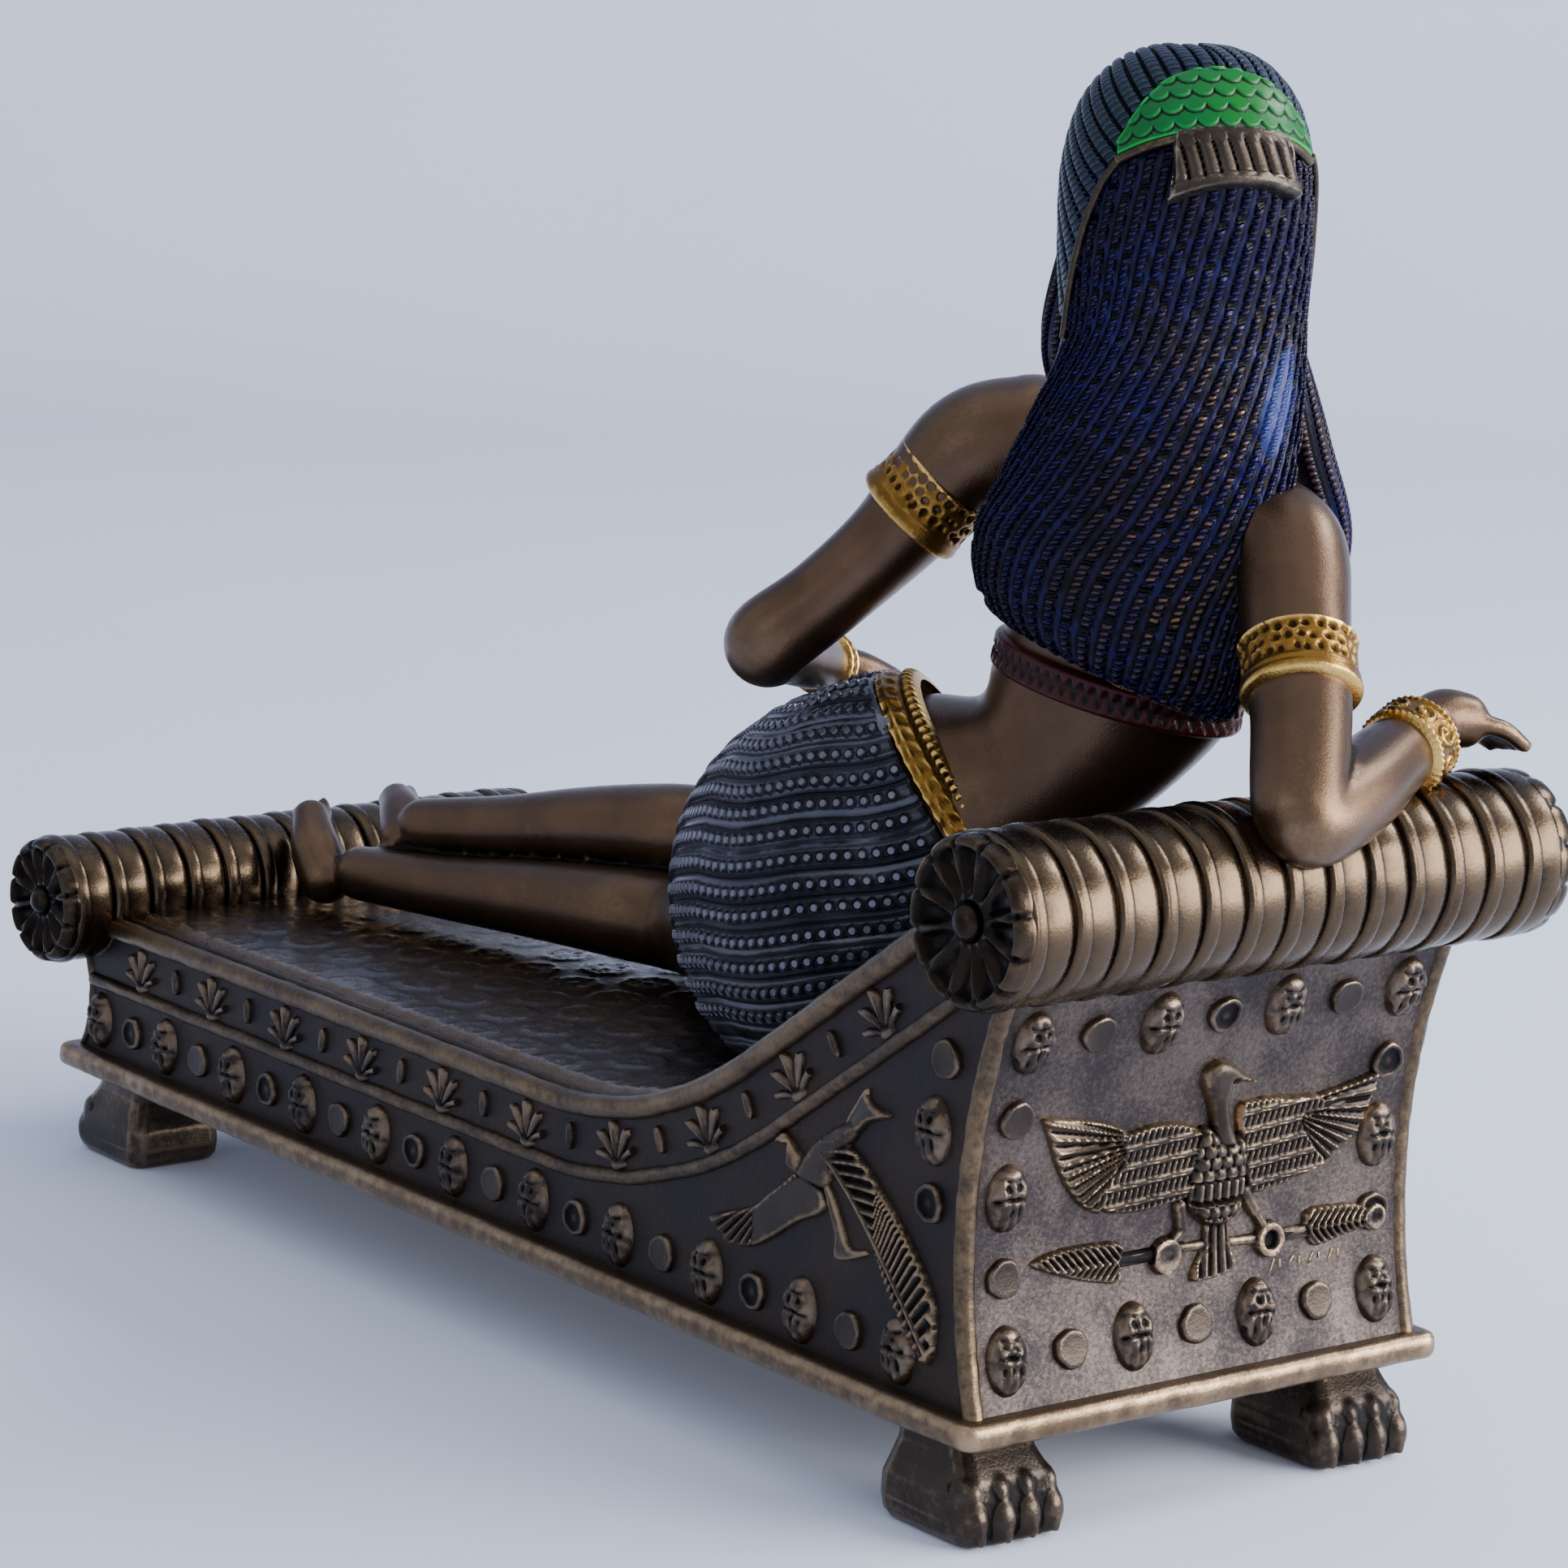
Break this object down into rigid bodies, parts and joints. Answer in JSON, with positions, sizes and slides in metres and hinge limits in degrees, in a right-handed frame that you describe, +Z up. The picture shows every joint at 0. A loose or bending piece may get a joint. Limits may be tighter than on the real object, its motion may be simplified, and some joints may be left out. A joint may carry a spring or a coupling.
{
  "type": "reclining figurine on couch",
  "caption": "Cast figurine of a woman in ancient dress with a long braided wig, reclining on a scrolled couch with banded bolsters, beetle and bird reliefs and lion paws.",
  "frame": {"origin": "centre of the bounding box at the underside of the paws", "axes": "+X along the couch to its raised head end, +Y to the side that the figure faces, +Z up"},
  "size_m": [0.266, 0.0956, 0.1913],
  "materials": {
    "bronze_patina": "dark bronze patina over cast resin with edges rubbed to gold bronze",
    "bronze_skin": "satin warm bronze",
    "wig_blue": "navy paint, strands dry-brushed with gold",
    "crest_green": "emerald paint",
    "skirt_slate": "slate-blue wash with silver beads",
    "antique_gold": "antique gold",
    "band_red": "dark red paint",
    "mattress_brown": "glossy brown wash over an embossed pattern"
  },
  "bodies": {
    "root": {"couch": "bronze_patina", "figure": "bronze_skin"}
  },
  "joints": []
}
